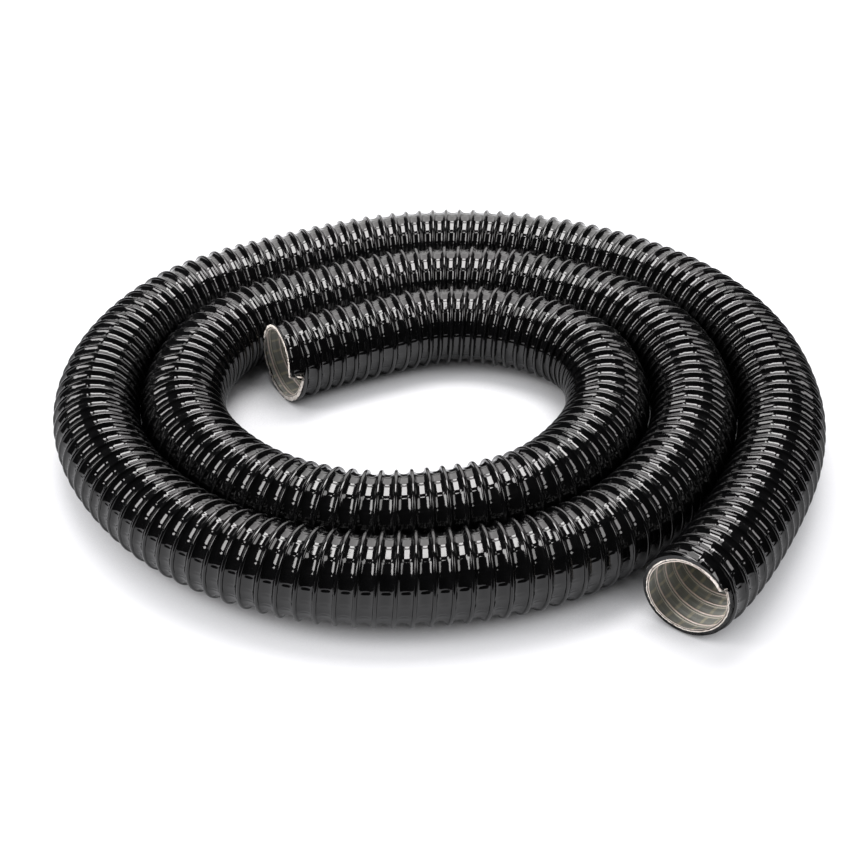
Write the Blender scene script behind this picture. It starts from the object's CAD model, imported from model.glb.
import math
import bpy
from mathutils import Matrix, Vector


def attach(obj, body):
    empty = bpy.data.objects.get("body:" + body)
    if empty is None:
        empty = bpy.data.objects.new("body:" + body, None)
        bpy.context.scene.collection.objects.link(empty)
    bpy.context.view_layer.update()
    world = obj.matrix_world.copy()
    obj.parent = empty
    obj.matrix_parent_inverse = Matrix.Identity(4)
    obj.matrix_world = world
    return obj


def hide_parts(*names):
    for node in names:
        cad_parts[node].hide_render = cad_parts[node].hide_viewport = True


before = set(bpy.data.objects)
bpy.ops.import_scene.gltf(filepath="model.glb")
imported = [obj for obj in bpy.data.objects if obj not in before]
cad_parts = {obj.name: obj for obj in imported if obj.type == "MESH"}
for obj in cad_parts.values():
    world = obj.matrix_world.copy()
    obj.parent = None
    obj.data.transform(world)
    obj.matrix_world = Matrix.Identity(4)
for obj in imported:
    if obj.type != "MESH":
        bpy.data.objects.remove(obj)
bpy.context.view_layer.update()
print("frame loaded")

# ---- camera ----
camera = {
    "place": (-0.00422, -0.73086, 0.5461),  # metres
    "downward": 37.174,  # degrees below level
    "lens": 59.77,  # mm
    "sensor": 36,  # mm
    "nearest": 0.02,  # metres
}


def placeCamera(c):
    data = bpy.data.cameras.new("tableCamera")
    data.lens = c["lens"]
    data.sensor_width = c["sensor"]
    data.clip_start = c["nearest"]
    obj = bpy.data.objects.new("tableCamera", data)
    obj.location = c["place"]
    obj.rotation_euler = (math.radians(90 - c["downward"]), 0, 0)
    bpy.context.scene.collection.objects.link(obj)
    bpy.context.scene.camera = obj


placeCamera(camera)

# ---- the hose's lay, the same numbers as in the solids ----
lay = {
    "hourRadii": [208, 218, 214, 211, 212, 234, 237, 221, 204, 192, 193, 197],  # mm, one each 30 degrees
    "outerFlare": 11,  # mm, how far the outer end leaves the coil
    "innerFlare": 45,  # mm, how far the inner end does
    "leadPerTurn": 52.7,  # mm towards the middle in each full turn
    "outerAngle": -52.5,  # degrees, where the hose starts
    "innerAngle": 874.5,  # degrees, where it ends
    "centre": (1.2825, -19.864),  # mm
    "height": 26,  # mm, middle of the hose over the floor
    "spare": 16,  # mm of line past each end, for the slanted cuts
    "pathStep": 5,  # degrees between the points that the cord's path gives
    "fineStep": 0.5,  # degrees between those that the pieces follow
}


def layRadius(angle):
    def hour(k):
        flare = lay["outerFlare"] if k < lay["outerAngle"] / 30 else 0
        flare += lay["innerFlare"] if k > lay["innerAngle"] / 30 else 0
        return lay["hourRadii"][k % 12] + flare
    k = math.floor(angle / 30)
    u = angle / 30 - k
    rise = hour(k + 1) - hour(k)
    a = (hour(k + 1) - hour(k - 1)) / 2
    b = (hour(k + 2) - hour(k)) / 2
    return hour(k) + u * (a + u * (3 * rise - 2 * a - b + u * (a + b - 2 * rise))) - lay["leadPerTurn"] * angle / 360


def layPoint(angle):
    r, turn = layRadius(angle), math.radians(angle)
    x, y = lay["centre"]
    return Vector((r * math.cos(turn) + x, r * math.sin(turn) + y, lay["height"])) / 1000


def layPoints(first, last, step):
    count = round((last - first) / step)
    return [layPoint(first + (last - first) * n / count) for n in range(count + 1)]


hosePath = layPoints(lay["outerAngle"], lay["innerAngle"], lay["pathStep"])
fineRun = layPoints(lay["outerAngle"], lay["innerAngle"], lay["fineStep"])
hoseLength = sum((b - a).length for a, b in zip(fineRun, fineRun[1:]))
print(f"hose line {hoseLength:.3f} m")


def makeRoute():
    spare = lay["spare"] / 1000
    first, last = fineRun[0], fineRun[-1]
    before = first + (first - fineRun[1]).normalized() * spare
    after = last + (last - fineRun[-2]).normalized() * spare
    points = [before] + fineRun + [after]
    data = bpy.data.curves.new("hoseRoute", "CURVE")
    data.dimensions = "3D"
    spline = data.splines.new("POLY")
    spline.points.add(len(points) - 1)
    for point, place in zip(spline.points, points):
        point.co = (*place, 1)
    made = bpy.data.objects.new("hoseRoute", data)
    bpy.context.scene.collection.objects.link(made)
    return made


route = makeRoute()

# ---- small helpers for node trees ----
number, shape, spot, thing, finish = (
    "NodeSocket" + kind for kind in ("Float", "Geometry", "Vector", "Object", "Material"))


def plug(tree, value, socket):
    if isinstance(value, bpy.types.NodeSocket):
        tree.links.new(value, socket)
    elif value is not None:
        socket.default_value = value


def node(tree, kind, given=None, **settings):
    made = tree.nodes.new(kind)
    for name, value in settings.items():
        setattr(made, name, value)
    for name, value in (given or {}).items():
        plug(tree, value, made.inputs[name])
    return made


def calc(tree, operation, *values):
    return node(tree, "ShaderNodeMath", dict(enumerate(values)), operation=operation).outputs[0]


def total(tree, *values):
    out = values[0]
    for value in values[1:]:
        out = calc(tree, "ADD", out, value)
    return out


def product(tree, *values):
    out = values[0]
    for value in values[1:]:
        out = calc(tree, "MULTIPLY", out, value)
    return out


def vec(tree, operation, *values):
    made = node(tree, "ShaderNodeVectorMath", operation=operation)
    for n, value in enumerate(values):
        plug(tree, value, made.inputs["Scale" if operation == "SCALE" and n == 1 else n])
    return made.outputs[0]


def joined(tree, x, y, z=0.0):
    return node(tree, "ShaderNodeCombineXYZ", {"X": x, "Y": y, "Z": z}).outputs[0]


def setCurve(made, places):
    points = made.mapping.curves[0].points
    for x, y in places[1:-1]:
        points.new(x, y)
    for point, (x, y) in zip(points, places):
        point.location = (x, y)
        point.handle_type = "VECTOR"
    made.mapping.update()


def startTree(name, inputs, outputs):
    tree = bpy.data.node_groups.new(name, "GeometryNodeTree")
    for label, kind, value in inputs:
        socket = tree.interface.new_socket(name=label, in_out="INPUT", socket_type=kind)
        if value is not None:
            socket.default_value = value
    for label, kind in outputs:
        tree.interface.new_socket(name=label, in_out="OUTPUT", socket_type=kind)
    entry, leave = tree.nodes.new("NodeGroupInput"), tree.nodes.new("NodeGroupOutput")
    return tree, {s.name: s for s in entry.outputs if s.name}, leave


def useGroup(tree, group, given):
    made = node(tree, "GeometryNodeGroup", node_tree=group)
    for name, value in given.items():
        plug(tree, value, made.inputs[name])
    return made.outputs


# ---- shared groups: a place on the hose, and the slanted cut of each end ----
def makePlaceGroup():
    tree, given, leave = startTree(
        "placeOnHose",
        [("Route", thing, None), ("Along", number, 0.0), ("Turn", number, 0.0), ("Radius", number, 26.0)],
        [("Position", spot)])
    info = node(tree, "GeometryNodeObjectInfo", {"Object": given["Route"]})
    sample = node(tree, "GeometryNodeSampleCurve", mode="LENGTH")
    plug(tree, info.outputs["Geometry"], sample.inputs["Curves"])
    plug(tree, product(tree, calc(tree, "ADD", given["Along"], lay["spare"]), 0.001), sample.inputs["Length"])
    inward = vec(tree, "NORMALIZE", vec(tree, "CROSS_PRODUCT", (0, 0, 1), sample.outputs["Tangent"]))
    side = vec(tree, "SCALE", inward, calc(tree, "COSINE", given["Turn"]))
    up = vec(tree, "SCALE", (0, 0, 1), calc(tree, "SINE", given["Turn"]))
    out = vec(tree, "SCALE", vec(tree, "ADD", side, up), product(tree, given["Radius"], 0.001))
    plug(tree, vec(tree, "ADD", sample.outputs["Position"], out), leave.inputs[0])
    return tree


cuts = {
    "outerStep": 4.0,  # mm, the step where the saw's cut meets itself
    "outerStepTurn": 146.0,  # degrees round the hose from the coil's inside, over the top
    "innerStep": 9.3,
    "innerStepTurn": 11.25,
    "outerStepWidth": 0.006,  # share of the way round that the step itself takes
    "innerStepWidth": 0.02,
    "outerLean": (-0.6, -4.3, 2.0),  # mm along the hose: all round, at the coil's inside, at the top
    "innerLean": (1.2, -0.9, -2.6),
    "stray": 0.7,  # mm, how far the cuts wander
    "strayScale": 2.3,
    "straySeed": 3.0,
}


def makeCutGroup():
    tree, given, leave = startTree("slantedCut", [("Turn", number, 0.0)], [("First", number), ("Last", number)])
    around = joined(tree, calc(tree, "COSINE", given["Turn"]), calc(tree, "SINE", given["Turn"]))
    for n, (end, place) in enumerate((("outer", 0.0), ("inner", hoseLength * 1000))):
        fromStep = calc(tree, "SUBTRACT", given["Turn"], math.radians(cuts[end + "StepTurn"]))
        share = calc(tree, "FLOORED_MODULO", calc(tree, "DIVIDE", fromStep, math.tau), 1.0)
        width = cuts[end + "StepWidth"]
        rising = calc(tree, "ADD", calc(tree, "DIVIDE", calc(tree, "SUBTRACT", share, 1.0), width), 0.5)
        saw = calc(tree, "MAXIMUM", calc(tree, "SUBTRACT", 0.5, share), rising)
        slant = product(tree, saw, cuts[end + "Step"])
        noise = node(tree, "ShaderNodeTexNoise", {
            "Vector": around, "W": cuts["straySeed"] + n, "Scale": cuts["strayScale"], "Detail": 4.0,
            "Roughness": 0.6}, noise_dimensions="4D")
        stray = product(tree, calc(tree, "SUBTRACT", noise.outputs[0], 0.5), cuts["stray"] * 2)
        whole, sideways, upward = cuts[end + "Lean"]
        lean = calc(tree, "ADD", product(tree, calc(tree, "COSINE", given["Turn"]), sideways),
                    product(tree, calc(tree, "SINE", given["Turn"]), upward))
        plug(tree, total(tree, slant, lean, stray, place + whole), leave.inputs[n])
    return tree


placeGroup, cutGroup = makePlaceGroup(), makeCutGroup()

# ---- what every wound strip shares ----
winding = {
    "pitch": 9.264,  # mm from rib to rib
    "firstRib": 12.2,  # mm from the outer end to the first rib, on the coil's inside
    "ribWidth": 2.4,  # mm
    "bendRadius": 218,  # mm, the coil's own, so that the rib keeps its width round the bend
    "wallRadius": 25,  # mm, the hose's own, for the same
    "sway": 0.3,  # mm, unevenness of the rib's spacing
    "swayScale": 0.021,  # of the noise behind it, for each mm along the hose
    "pinch": 1.3,  # mm that the wall is drawn in at the outer mouth
    "pinchReach": 10,  # mm
    "threads": 18,  # lengthwise threads in the wall
    "threadTurn": 14.7,  # degrees round the hose to the first of them
}
noiseGain = 3  # a noise keeps to about a third of its range, so this brings it to the size said
firstTurn = -3
pastEnd = 14  # mm that the strips wind on past the inner end, to be cut there
lastTurn = math.ceil((hoseLength * 1000 + pastEnd - winding["firstRib"]) / winding["pitch"])
smallestFace = 1e-9  # square metres, less is a face that the cut has closed


def startStrip(name, values):
    inputs = [("Route", thing, None), ("Finish", finish, None)]
    inputs += [(label, number, float(value)) for label, value in values.items()]
    return startTree(name, inputs, [("Geometry", shape)])


def stripGrid(tree, rows, columns):
    grid = node(tree, "GeometryNodeMeshGrid", {"Vertices X": columns, "Vertices Y": rows}).outputs[0]
    index = node(tree, "GeometryNodeInputIndex").outputs[0]
    column = calc(tree, "FLOOR", calc(tree, "DIVIDE", calc(tree, "ADD", index, 0.25), rows))
    row = calc(tree, "SUBTRACT", index, product(tree, column, rows))
    return grid, column, calc(tree, "DIVIDE", row, rows - 1.0)


def turnOf(tree, wound):
    turn = product(tree, wound, -math.tau)
    # how much closer the ribs lie on the inside of the bend
    squeeze = calc(tree, "SUBTRACT", 1.0, product(
        tree, calc(tree, "COSINE", turn), winding["wallRadius"] / winding["bendRadius"]))
    return turn, squeeze


def layStrip(tree, given, grid, wound, turn, offset, radius, across):
    plain = total(tree, product(tree, wound, winding["pitch"]), offset, winding["firstRib"])
    noise = node(tree, "ShaderNodeTexNoise", {
        "W": product(tree, plain, winding["swayScale"]), "Detail": 2.0, "Scale": 1.0},
        noise_dimensions="1D").outputs[0]
    sway = product(tree, calc(tree, "SUBTRACT", noise, 0.5), winding["sway"] * noiseGain)
    along = calc(tree, "ADD", plain, sway)
    cut = useGroup(tree, cutGroup, {"Turn": turn})
    along = calc(tree, "MAXIMUM", calc(tree, "MINIMUM", along, cut["Last"]), cut["First"])
    inward = calc(tree, "DIVIDE", calc(tree, "SUBTRACT", along, cut["First"]), winding["pinchReach"])
    pinched = calc(tree, "MAXIMUM", calc(tree, "SUBTRACT", 1.0, inward), 0.0)
    radius = calc(tree, "SUBTRACT", radius, product(tree, pinched, pinched, winding["pinch"]))
    place = useGroup(tree, placeGroup, {"Route": given["Route"], "Along": along, "Turn": turn, "Radius": radius})
    chart = node(tree, "GeometryNodeFieldOnDomain", data_type="FLOAT_VECTOR", domain="POINT")
    plug(tree, joined(tree, wound, across), chart.inputs[0])
    mapped = node(tree, "GeometryNodeStoreNamedAttribute", {
        "Geometry": grid, "Name": "windingMap", "Value": chart.outputs[0]},
        data_type="FLOAT2", domain="CORNER").outputs[0]
    return node(tree, "GeometryNodeSetPosition", {"Geometry": mapped, "Position": place["Position"]}).outputs[0]


def endTree(tree, given, leave, laid, outward, weld=0.0):
    area = node(tree, "GeometryNodeInputMeshFaceArea").outputs[0]
    spent = node(tree, "FunctionNodeCompare", {"A": area, "B": smallestFace}, data_type="FLOAT", operation="LESS_THAN")
    kept = node(tree, "GeometryNodeDeleteGeometry", {"Geometry": laid, "Selection": spent.outputs[0]},
                domain="FACE").outputs[0]
    if weld:
        kept = node(tree, "GeometryNodeMergeByDistance", {"Geometry": kept, "Distance": weld}).outputs[0]
    if outward:
        kept = node(tree, "GeometryNodeFlipFaces", {"Mesh": kept}).outputs[0]
    smooth = node(tree, "GeometryNodeSetShadeSmooth", {"Geometry": kept}).outputs[0]
    real = node(tree, "GeometryNodeRealizeInstances", {"Geometry": smooth}).outputs[0]
    plug(tree, node(tree, "GeometryNodeSetMaterial", {"Geometry": real, "Material": given["Finish"]}).outputs[0],
         leave.inputs[0])
    return tree


def makePiece(name, tree, sizes):
    obj = bpy.data.objects.new(name, bpy.data.meshes.new(name + "Seed"))
    modifier = obj.modifiers.new("shape", "NODES")
    modifier.node_group = tree
    for item in tree.interface.items_tree:
        if item.in_out == "INPUT" and item.name in sizes:
            value = sizes[item.name]
            modifier[item.identifier] = float(value) if isinstance(value, int) else value
    bpy.context.scene.collection.objects.link(obj)
    graph = bpy.context.evaluated_depsgraph_get()
    mesh = bpy.data.meshes.new_from_object(obj.evaluated_get(graph), preserve_all_data_layers=True, depsgraph=graph)
    obj.modifiers.remove(modifier)
    obj.data = mesh
    mesh.name = name
    print(f"{name}: {sum(len(p.vertices) - 2 for p in mesh.polygons)} triangles")
    return obj


# ---- finishes ----
def startFinish(name, **values):
    mat = bpy.data.materials.new(name)
    mat.use_nodes = True
    shader = mat.node_tree.nodes["Principled BSDF"]
    for label, value in values.items():
        shader.inputs[label.replace("_", " ")].default_value = value
    return mat, mat.node_tree, shader


def ramp(tree, factor, stops):
    made = node(tree, "ShaderNodeValToRGB", {"Fac": factor})
    band = made.color_ramp
    while len(band.elements) < len(stops):
        band.elements.new(0.5)
    for element, (place, colour) in zip(band.elements, stops):
        element.position = place
        element.color = (*colour, 1)
    return made.outputs[0]


def blendColours(tree, factor, first, second):
    made = node(tree, "ShaderNodeMix", data_type="RGBA")
    for value, n in ((factor, 0), (first, 6), (second, 7)):
        plug(tree, value, made.inputs[n])
    return made.outputs[2]


def useMarks(tree, **values):
    made = node(tree, "ShaderNodeGroup", node_tree=handling)
    for name, value in values.items():
        made.inputs[name].default_value = value
    return made.outputs


def makeHandlingGroup():
    # uneven patches and fine grain, shared by every finish
    tree = bpy.data.node_groups.new("handlingMarks", "ShaderNodeTree")
    for label, value in (("Size", 9.0), ("Grain", 0.5)):
        tree.interface.new_socket(name=label, in_out="INPUT", socket_type=number).default_value = value
    for label in ("Patches", "Height"):
        tree.interface.new_socket(name=label, in_out="OUTPUT", socket_type=number)
    entry, leave = tree.nodes.new("NodeGroupInput"), tree.nodes.new("NodeGroupOutput")
    place = tree.nodes.new("ShaderNodeTexCoord").outputs["Object"]
    broad = node(tree, "ShaderNodeTexNoise", {
        "Vector": place, "Detail": 3.0, "Scale": calc(tree, "DIVIDE", 1000.0, entry.outputs["Size"])}).outputs[0]
    fine = node(tree, "ShaderNodeTexNoise", {"Vector": place, "Scale": 900.0, "Detail": 4.0}).outputs[0]
    plug(tree, broad, leave.inputs["Patches"])
    plug(tree, calc(tree, "ADD", broad, product(tree, fine, entry.outputs["Grain"], 0.12)), leave.inputs["Height"])
    return tree


handling = makeHandlingGroup()


def bumpFrom(tree, marks, shader, strength, depth):
    plug(tree, node(tree, "ShaderNodeBump", {
        "Height": marks["Height"], "Strength": strength, "Distance": depth}).outputs[0], shader.inputs["Normal"])


blackLook = {
    "patch": 7.0,  # mm
    "grain": 0.6,
    "shades": [(0.35, (0.0012, 0.0012, 0.0014)), (0.75, (0.0026, 0.0026, 0.0028))],
    "roughness": (0.07, 0.13),
    "bump": (0.25, 0.0004),  # strength, and depth in metres
}


def makeBlackFinish():
    mat, tree, shader = startFinish("glossBlackSkin")
    marks = useMarks(tree, Size=blackLook["patch"], Grain=blackLook["grain"])
    plug(tree, ramp(tree, marks["Patches"], blackLook["shades"]), shader.inputs["Base Color"])
    sleek, dull = blackLook["roughness"]
    plug(tree, node(tree, "ShaderNodeMapRange", {
        "Value": marks["Patches"], "From Min": 0.3, "From Max": 0.75, "To Min": sleek, "To Max": dull}).outputs[0],
        shader.inputs["Roughness"])
    bumpFrom(tree, marks, shader, *blackLook["bump"])
    return mat


linerLook = {
    "grey": (0.33, 0.338, 0.315),
    "gap": (0.11, 0.1, 0.09),
    "lineA": (0.8, 0.7, 0.64),
    "lineB": (0.55, 0.53, 0.46),
    "bar": (0.56, 0.53, 0.42, 1),
    "barEdge": (0.07, 0.15),  # shares of the way to the next bar, where one begins to fade and where it ends
    "barReach": 0.315,  # share of the pitch to each side of its middle
    "barCover": 0.9,
    "patch": 6.0,  # mm
    "grain": 0.6,
    "light": (0.88, 1.08),  # darkest and lightest patches
    "bump": (0.2, 0.0003),
}


def makeLinerFinish():
    mat, tree, shader = startFinish("greyLinerFilm", Roughness=0.42)
    chart = node(tree, "ShaderNodeUVMap", uv_map="windingMap").outputs[0]
    split = node(tree, "ShaderNodeSeparateXYZ", {"Vector": chart})
    across = split.outputs["Y"]
    grey, gap, lineA, lineB = (linerLook[key] for key in ("grey", "gap", "lineA", "lineB"))
    bands = ramp(tree, across, [
        (0.0, gap), (0.008, gap), (0.022, lineA), (0.15, lineA), (0.163, gap), (0.175, gap), (0.19, grey),
        (0.81, grey), (0.82, gap), (0.83, gap), (0.845, lineB), (0.965, lineB), (0.98, gap), (1.0, gap)])
    share = calc(tree, "FRACT", product(tree, split.outputs["X"], float(winding["threads"])))
    thread = 1 - winding["threadTurn"] / (360 / winding["threads"])
    begins, ends = linerLook["barEdge"]
    bar = node(tree, "ShaderNodeMapRange", {
        "Value": calc(tree, "ABSOLUTE", calc(tree, "SUBTRACT", share, thread)), "From Min": begins, "From Max": ends,
        "To Min": 1.0, "To Max": 0.0}).outputs[0]
    fromMiddle = calc(tree, "ABSOLUTE", calc(tree, "SUBTRACT", across, 0.5))
    onPanel = calc(tree, "LESS_THAN", fromMiddle, linerLook["barReach"])
    marks = useMarks(tree, Size=linerLook["patch"], Grain=linerLook["grain"])
    barred = blendColours(tree, product(tree, bar, onPanel, linerLook["barCover"]), bands, linerLook["bar"])
    darkest, lightest = linerLook["light"]
    shade = node(tree, "ShaderNodeMapRange", {
        "Value": marks["Patches"], "From Min": 0.3, "From Max": 0.7, "To Min": darkest, "To Max": lightest}).outputs[0]
    shaded = node(tree, "ShaderNodeVectorMath", {0: barred}, operation="SCALE")
    plug(tree, shade, shaded.inputs["Scale"])
    plug(tree, shaded.outputs[0], shader.inputs["Base Color"])
    bumpFrom(tree, marks, shader, *linerLook["bump"])
    return mat


rimLook = {
    "patch": 2.2,  # mm
    "grain": 2.0,
    "shades": [(0.3, (0.42, 0.37, 0.33)), (0.42, (0.66, 0.6, 0.55)), (0.62, (0.82, 0.77, 0.72))],
    "bump": (0.8, 0.0006),
}


def makeRimFinish():
    mat, tree, shader = startFinish("creamCutEdge", Roughness=0.7)
    marks = useMarks(tree, Size=rimLook["patch"], Grain=rimLook["grain"])
    plug(tree, ramp(tree, marks["Patches"], rimLook["shades"]), shader.inputs["Base Color"])
    bumpFrom(tree, marks, shader, *rimLook["bump"])
    return mat


blackFinish, linerFinish, rimFinish = makeBlackFinish(), makeLinerFinish(), makeRimFinish()
print("finishes ready")

# ---- the rib, one screw from end to end ----
rib = {
    "rows": 7,
    "perTurn": 54,
    "foot": 24.5,  # mm from the hose's middle, sunk a little under the skin
    "height": 1.5,  # mm
    "squareness": 2.6,  # 2 is an oval, more is flatter on top
}


def makeRibTree():
    tree, given, leave = startStrip("woundRib", {
        "Rib Width": winding["ribWidth"], "Foot": rib["foot"], "Height": rib["height"]})
    grid, column, share = stripGrid(tree, rib["rows"], (lastTurn - firstTurn) * rib["perTurn"] + 1)
    wound = calc(tree, "ADD", calc(tree, "DIVIDE", column, rib["perTurn"]), firstTurn)
    turn, squeeze = turnOf(tree, wound)
    arch = product(tree, calc(tree, "SUBTRACT", share, 0.5), math.pi)
    sine, power = calc(tree, "SINE", arch), 2 / rib["squareness"]
    side = product(tree, calc(tree, "SIGN", sine), calc(tree, "POWER", calc(tree, "ABSOLUTE", sine), power))
    offset = calc(tree, "DIVIDE", product(tree, side, given["Rib Width"], 0.5), squeeze)
    crown = calc(tree, "POWER", calc(tree, "MAXIMUM", calc(tree, "COSINE", arch), 0.0), power)
    radius = calc(tree, "ADD", given["Foot"], product(tree, crown, given["Height"]))
    laid = layStrip(tree, given, grid, wound, turn, offset, radius, share)
    return endTree(tree, given, leave, laid, outward=True)


hoseRib = makePiece("hoseRib", makeRibTree(), {
    "Route": route, "Finish": blackFinish, "Rib Width": winding["ribWidth"], "Foot": rib["foot"],
    "Height": rib["height"]})

# ---- the skin between the ribs ----
skin = {
    "rows": 9,
    "perThread": 7,  # columns: a thread's top, and on both sides a shoulder, a foot and the start of the flat panel
    "valley": 23.6,  # mm from the hose's middle, beside a thread
    "flank": 1.35,  # mm that the skin rises to the rib
    "flankPower": 2.5,  # the higher, the flatter the middle
    "rowSpread": 0.8,  # less than 1 brings the rows closer to the ribs
    "overlap": 0.15,  # mm that the skin reaches under a rib
    "roundPower": 4.0,  # how late the flat panel turns round beside a rib
    "insideDepth": 0.45,  # mm deeper on the inside of the bend
    "threadDepth": 0.42,  # mm that the skin sinks along a thread
    "threadShoulder": 0.5,  # how much of that is left halfway up
    "threadEnds": 1.7,  # the higher, the further a thread stops from the ribs
    "columns": (0.07, 0.145, 0.2),  # shares of the way to the next thread: shoulder, foot, flat
    "dents": 0.06,  # mm
    "dentScale": 9.0,
    "dentStretch": 0.04,  # of the noise behind them, for each mm along the hose
    "endDents": 0.45,  # mm, more of them beside the mouths
    "endReach": 62,  # mm
    "endPower": 1.5,
}


def makeSkinTree(first, last):
    tree, given, leave = startStrip("skinPanels", {
        "Valley": skin["valley"], "Flank": skin["flank"], "Thread Depth": skin["threadDepth"]})
    each = skin["perThread"]
    grid, column, share = stripGrid(tree, skin["rows"], (last - first) * winding["threads"] * each + 1)
    period = calc(tree, "FLOOR", calc(tree, "DIVIDE", calc(tree, "ADD", column, 0.25), float(each)))
    step = calc(tree, "SUBTRACT", calc(tree, "SUBTRACT", column, product(tree, period, float(each))), each // 2)
    away = calc(tree, "ABSOLUTE", step)
    shoulder, foot, flat = skin["columns"]
    off = total(tree, product(tree, calc(tree, "MINIMUM", away, 1.0), shoulder), *(
        product(tree, calc(tree, "MINIMUM", calc(tree, "MAXIMUM", calc(tree, "SUBTRACT", away, n), 0.0), 1.0), more)
        for n, more in ((1.0, foot - shoulder), (2.0, flat - foot))))
    shift = (1 - winding["threadTurn"] / (360 / winding["threads"])) / winding["threads"]
    place = total(tree, period, product(tree, off, calc(tree, "SIGN", step)))
    wound = calc(tree, "ADD", calc(tree, "DIVIDE", place, winding["threads"]), first + shift)
    turn, squeeze = turnOf(tree, wound)
    side = calc(tree, "SUBTRACT", product(tree, share, 2.0), 1.0)
    spread = calc(tree, "POWER", calc(tree, "ABSOLUTE", side), skin["rowSpread"])
    underRib = calc(tree, "DIVIDE", winding["ribWidth"] / 2, squeeze)
    reach = calc(tree, "SUBTRACT", winding["pitch"] / 2 + skin["overlap"], underRib)
    offset = calc(tree, "ADD", product(tree, calc(tree, "SIGN", side), spread, reach), winding["pitch"] / 2)
    # the film lies flat from thread to thread, and round where it meets the rib
    half = math.pi / winding["threads"]
    lean = calc(tree, "COSINE", calc(tree, "SUBTRACT", product(tree, off, 2 * half), half))
    chord = calc(tree, "SUBTRACT", calc(tree, "DIVIDE", math.cos(half), lean), 1.0)
    fade = calc(tree, "SUBTRACT", 1.0, calc(tree, "POWER", spread, skin["roundPower"]))
    sink = product(tree, chord, fade, given["Valley"])
    rise = product(tree, calc(tree, "POWER", spread, skin["flankPower"]), given["Flank"])
    inside = product(tree, calc(tree, "MAXIMUM", calc(tree, "COSINE", turn), 0.0), -skin["insideDepth"])
    top = calc(tree, "MAXIMUM", calc(tree, "SUBTRACT", 1.0, away), 0.0)
    lower = calc(tree, "MAXIMUM", calc(tree, "SUBTRACT", 1.0, calc(
        tree, "ABSOLUTE", calc(tree, "SUBTRACT", away, 1.0))), 0.0)
    fromRibs = calc(tree, "SUBTRACT", product(tree, side, side, skin["threadEnds"]), 1.0)
    hollow = product(tree, calc(tree, "ADD", top, product(tree, lower, skin["threadShoulder"])), given["Thread Depth"],
                     calc(tree, "MINIMUM", fromRibs, 0.0))
    ahead = product(tree, calc(tree, "ADD", product(tree, wound, winding["pitch"]), offset), skin["dentStretch"])
    noise = node(tree, "ShaderNodeTexNoise", {"Scale": skin["dentScale"], "Detail": 2.0, "Vector": joined(
        tree, calc(tree, "COSINE", turn), calc(tree, "SINE", turn), ahead)}).outputs[0]
    run = total(tree, product(tree, wound, winding["pitch"]), offset, winding["firstRib"])
    toEnd = calc(tree, "MINIMUM", run, calc(tree, "SUBTRACT", hoseLength * 1000, run))
    worn = calc(tree, "POWER", calc(tree, "MAXIMUM", calc(
        tree, "SUBTRACT", 1.0, calc(tree, "DIVIDE", toEnd, skin["endReach"])), 0.0), skin["endPower"])
    atEnds = product(tree, calc(tree, "MINIMUM", worn, 1.0), skin["endDents"] * noiseGain)
    uneven = calc(tree, "ADD", atEnds, skin["dents"] * noiseGain)
    dents = product(tree, calc(tree, "SUBTRACT", noise, 0.5), uneven)
    radius = total(tree, given["Valley"], sink, rise, inside, hollow, dents)
    laid = layStrip(tree, given, grid, wound, turn, offset, radius, share)
    return endTree(tree, given, leave, laid, outward=True)


thirds = [firstTurn + round((lastTurn - firstTurn) * n / 3) for n in range(4)]
skinPieces = [
    makePiece(name, makeSkinTree(first, last), {
        "Route": route, "Finish": blackFinish, "Valley": skin["valley"], "Flank": skin["flank"],
        "Thread Depth": skin["threadDepth"]})
    for name, first, last in zip(("hoseSkinOuterTurn", "hoseSkinMiddleTurn", "hoseSkinInnerTurn"), thirds, thirds[1:])]
print("skin made")

# ---- the liner, fine where a mouth shows it and plain in between ----
liner = {
    "radius": 22.6,  # mm
    "depth": 0.9,  # mm between its highest and lowest
    "section": [(0, 0.7), (0.015, 0.5), (0.04, 0.05), (0.12, 0), (0.16, 0.6), (0.2, 0.85), (0.5, 0.5), (0.8, 0.85),
                (0.84, 0.6), (0.87, 0.2), (0.94, 0.15), (0.98, 0.6), (1, 0.7)],  # across a pitch, 1 is furthest out
    "flare": {"First": (0.1, 3.0), "Last": (1.9, 2.6)},  # mm that it opens at each mouth, and over how many mm
    "fineTurns": 16,  # beside each mouth
    "fineGrid": (25, 72),  # rows across a pitch, and columns to a turn
    "plainGrid": (4, 24),
}


def makeLinerTree(first, last, rows, perTurn):
    tree, given, leave = startStrip("linerFilm", {"Liner Radius": liner["radius"], "Depth": liner["depth"]})
    grid, column, share = stripGrid(tree, rows, (last - first) * perTurn + 1)
    wound = calc(tree, "ADD", calc(tree, "DIVIDE", column, perTurn), first)
    turn, squeeze = turnOf(tree, wound)
    curve = node(tree, "ShaderNodeFloatCurve", {"Value": share})
    setCurve(curve, liner["section"])
    swell = calc(tree, "SUBTRACT", curve.outputs[0], 0.5)
    radius = calc(tree, "ADD", given["Liner Radius"], product(tree, swell, given["Depth"]))
    offset = product(tree, share, winding["pitch"])
    run = total(tree, product(tree, wound, winding["pitch"]), offset, winding["firstRib"])
    cut = useGroup(tree, cutGroup, {"Turn": turn})
    for key, (flare, reach) in liner["flare"].items():
        away = calc(tree, "DIVIDE", calc(tree, "ABSOLUTE", calc(tree, "SUBTRACT", cut[key], run)), reach)
        near = calc(tree, "MAXIMUM", calc(tree, "SUBTRACT", 1.0, away), 0.0)
        radius = calc(tree, "ADD", radius, product(tree, near, near, flare))
    laid = layStrip(tree, given, grid, wound, turn, offset, radius, share)
    return endTree(tree, given, leave, laid, outward=False)


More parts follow.
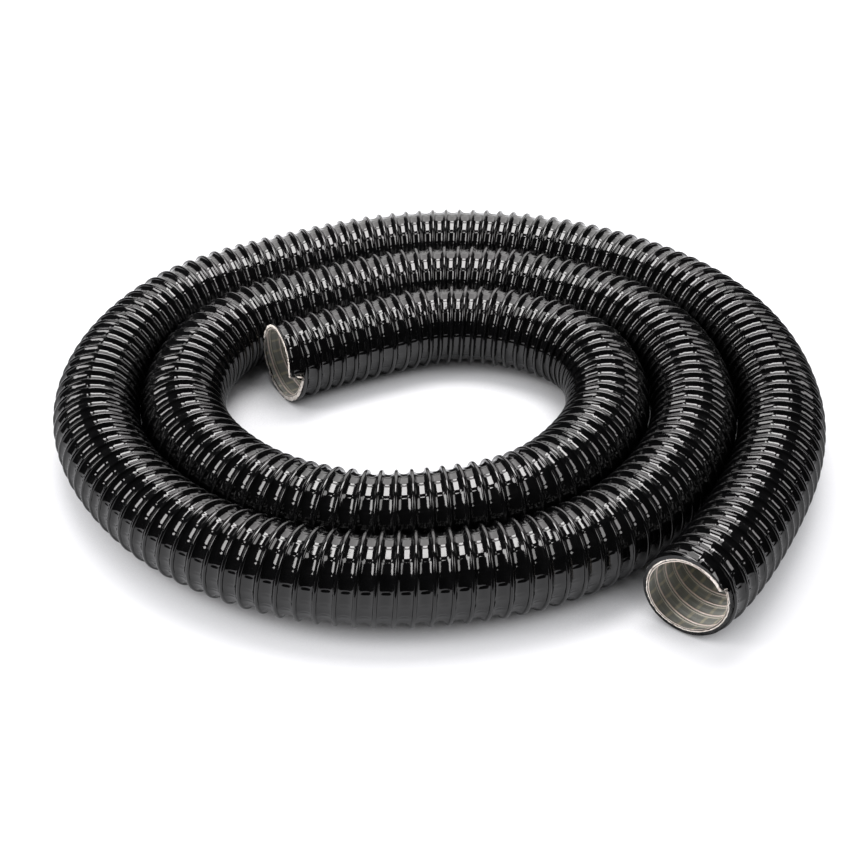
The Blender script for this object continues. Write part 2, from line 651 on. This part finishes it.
near, far = firstTurn + liner["fineTurns"], lastTurn - liner["fineTurns"]
linerPieces = [
    makePiece(name, makeLinerTree(*stretch), {
        "Route": route, "Finish": linerFinish, "Liner Radius": liner["radius"], "Depth": liner["depth"]})
    for name, stretch in (
        ("linerOuterMouth", (firstTurn, near, *liner["fineGrid"])), ("linerRun", (near, far, *liner["plainGrid"])),
        ("linerInnerMouth", (far, lastTurn, *liner["fineGrid"])))]
print("liner made")

# ---- the cut edges of both mouths ----
edge = {
    "around": 300,  # columns
    "stepColumns": 16,  # more of them, down the step
    "rows": 9,
    "gap": 0.004,  # radians left free on each side of the step
    "middle": {"outer": 22.2, "inner": 24.3},  # mm from the hose's middle
    "thick": 1.4,  # mm, half of what shows where it is widest
    "profile": {  # share of that, from the step once round
        "outer": [(0, 0.3), (0.1, 0.25), (0.35, 0.24), (0.6, 0.28), (0.82, 0.3), (0.9, 0.42), (0.95, 0.8), (1, 0.75)],
        "inner": [(0, 1.1), (0.06, 0.62), (0.25, 0.66), (0.55, 0.75), (0.7, 0.8), (0.78, 1), (0.93, 1.05), (1, 1.4)]},
    "proud": 0.35,  # mm that it stands past the cut
    "rag": 0.8,  # mm of torn unevenness
    "ragAlong": 2.5,  # times that, along the hose
    "ragScale": 9.0,
    "weld": 0.00002,  # metres
}


def makeEdgeTree(end, outSign):
    tree, given, leave = startStrip("cutEdge", {"Thick": edge["thick"], "Proud": edge["proud"], "Rag": edge["rag"]})
    grid, column, share = stripGrid(tree, edge["rows"], edge["around"] + edge["stepColumns"] + 1)
    part = calc(tree, "MINIMUM", calc(tree, "DIVIDE", column, edge["around"]), 1.0)
    closing = calc(tree, "MAXIMUM", calc(tree, "DIVIDE", calc(
        tree, "SUBTRACT", column, edge["around"]), edge["stepColumns"]), 0.0)
    start = math.radians(cuts[end + "StepTurn"]) + edge["gap"]
    turn = calc(tree, "ADD", product(tree, part, math.tau - edge["gap"] * 2), start)
    key = "First" if end == "outer" else "Last"
    here = useGroup(tree, cutGroup, {"Turn": turn})[key]
    there = useGroup(tree, cutGroup, {"Turn": start})[key]
    line = calc(tree, "ADD", here, product(tree, closing, calc(tree, "SUBTRACT", there, here)))
    onStep = calc(tree, "GREATER_THAN", calc(tree, "ADD", part, closing), 1 - cuts[end + "StepWidth"])
    angle = product(tree, share, math.tau)
    profile = node(tree, "ShaderNodeFloatCurve", {"Value": part})
    setCurve(profile, edge["profile"][end])
    bulge = product(tree, calc(tree, "COSINE", angle), given["Proud"])
    along = total(tree, line, product(tree, bulge, calc(tree, "SUBTRACT", 1.0, onStep), float(outSign)))
    turned = calc(tree, "ADD", turn, product(tree, bulge, onStep, 1 / edge["middle"][end]))
    noise = node(tree, "ShaderNodeTexNoise", {
        "Vector": joined(tree, calc(tree, "COSINE", turn), calc(tree, "SINE", turn)), "Scale": edge["ragScale"],
        "Detail": 4.0})
    rag = calc(tree, "SUBTRACT", noise.outputs[0], 0.5)
    half = product(tree, calc(tree, "SINE", angle), given["Thick"], profile.outputs[0])
    radius = total(tree, edge["middle"][end], half, product(tree, rag, given["Rag"]))
    place = useGroup(tree, placeGroup, {"Route": given["Route"], "Along": calc(
        tree, "ADD", along, product(tree, rag, given["Rag"], edge["ragAlong"])), "Turn": turned, "Radius": radius})
    laid = node(tree, "GeometryNodeSetPosition", {"Geometry": grid, "Position": place["Position"]}).outputs[0]
    return endTree(tree, given, leave, laid, outward=(outSign > 0), weld=edge["weld"])


edgePieces = [
    makePiece(name, makeEdgeTree(end, outSign), {
        "Route": route, "Finish": rimFinish, "Thick": edge["thick"], "Proud": edge["proud"], "Rag": edge["rag"]})
    for name, end, outSign in (("cutEdgeOuter", "outer", -1), ("cutEdgeInner", "inner", 1))]
print("cut edges made")

bpy.data.objects.remove(route)

# ---- what each piece stands for ----
for piece in [hoseRib, *skinPieces]:
    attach(piece, "root")
    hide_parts("outer_skin")
for piece in linerPieces + edgePieces:
    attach(piece, "root")
    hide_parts("inner_liner")

# ---- floor and lights ----
studio = {
    "floorSize": 5.0,  # metres
    "floorShade": (0.35, 0.352, 0.362),
    "floorGlow": 0.58,  # light coming through the paper
    "floorGlowColour": (0.965, 0.97, 1.0),
    "contactReach": 0.08,  # metres round a point of the floor that are looked over for it
    "contactOpen": (0.12, 0.66),  # share of open sky there where the glow begins and where it is full
    "paperPatch": 260.0,  # mm
    "paperShade": 0.98,  # its darker patches
    "overhead": 1.3,  # metres over the floor
    "overheadRadiance": 15.8,
    "overheadBox": (0.78, 0.46),  # width and depth, times its height
    "overheadBack": 0.36,  # how far behind the middle, times its height
    "sideDistance": 1.9,
    "sideTurn": 102,  # degrees from straight behind
    "sideRise": 41,  # degrees over the floor
    "sideAim": (0, 0, 0.03),
    "sideBox": (0.65, 0.95),  # metres
    "sideRadiance": (10.0, 5.2),  # left and right
    "fillPlace": (-1.4, -0.95, 0.62),  # seen by matt surfaces only
    "fillBox": (1.0, 0.8),
    "fillRadiance": 7.5,
    "cardWidth": 2.1,  # the card behind, in two parts
    "cardPlace": (0.15, 1.6),
    "cardParts": {"cardLow": (0.27, 0.54, 1.2), "cardHigh": (1.52, 1.96, 2.8)},  # middle, height and radiance
    "lightColour": (1, 0.982, 0.975),
    "dark": (0.03, 0.03, 0.03),
}


def makeFloor():
    data = bpy.data.meshes.new("paleFloor")
    half = studio["floorSize"] / 2
    data.from_pydata([(-half, -half, 0), (half, -half, 0), (half, half, 0), (-half, half, 0)], [], [(0, 1, 2, 3)])
    floor = bpy.data.objects.new("paleFloor", data)
    bpy.context.scene.collection.objects.link(floor)
    shade = studio["floorShade"]
    mat, tree, shader = startFinish("palePaper", Roughness=0.8)
    shader.inputs["Specular IOR Level"].default_value = 0.2
    shader.inputs["Emission Color"].default_value = (*studio["floorGlowColour"], 1)
    sky = node(tree, "ShaderNodeAmbientOcclusion", {"Distance": studio["contactReach"]}, samples=8)
    least, most = studio["contactOpen"]
    lit = node(tree, "ShaderNodeMapRange", {"Value": sky.outputs["AO"], "From Min": least, "From Max": most})
    plug(tree, product(tree, lit.outputs["Result"], studio["floorGlow"]), shader.inputs["Emission Strength"])
    paper = useMarks(tree, Size=studio["paperPatch"], Grain=0.3)
    darker = [c * studio["paperShade"] for c in shade]
    plug(tree, ramp(tree, paper["Patches"], [(0.3, darker), (0.7, shade)]), shader.inputs["Base Color"])
    data.materials.append(mat)


def areaLight(name, place, aim, wide, deep, radiance):
    data = bpy.data.lights.new(name, "AREA")
    data.shape = "RECTANGLE"
    data.size, data.size_y = wide, deep
    data.energy = radiance * math.pi * wide * deep
    data.color = studio["lightColour"]
    lamp = bpy.data.objects.new(name, data)
    lamp.location = place
    lamp.rotation_euler = (Vector(aim) - Vector(place)).to_track_quat("-Z", "Y").to_euler()
    bpy.context.scene.collection.objects.link(lamp)
    return lamp


def makeStudio():
    high = studio["overhead"]
    middle = studio["overheadBack"] * high
    wide, deep = studio["overheadBox"]
    areaLight("overheadBox", (0, middle, high), (0, middle, 0), wide * high, deep * high, studio["overheadRadiance"])
    across, over = math.radians(studio["sideTurn"]), math.radians(studio["sideRise"])
    for name, side, radiance in zip(("sideLeft", "sideRight"), (-1, 1), studio["sideRadiance"]):
        aim = Vector((side * math.sin(across) * math.cos(over), math.cos(across) * math.cos(over), math.sin(over)))
        areaLight(name, aim * studio["sideDistance"], studio["sideAim"], *studio["sideBox"], radiance)
    x, y = studio["cardPlace"]
    for name, (z, tall, radiance) in studio["cardParts"].items():
        areaLight(name, (x, y, z), (x, 0, z), studio["cardWidth"], tall, radiance)
    fill = areaLight("frontFill", studio["fillPlace"], (0, 0, 0), *studio["fillBox"], studio["fillRadiance"])
    fill.visible_glossy = False
    world = bpy.data.worlds.new("dimRoom")
    world.use_nodes = True
    world.node_tree.nodes["Background"].inputs[0].default_value = (*studio["dark"], 1)
    bpy.context.scene.world = world
    bpy.context.scene.view_settings.view_transform = "Standard"


makeFloor()
makeStudio()
print("floor and lights ready")
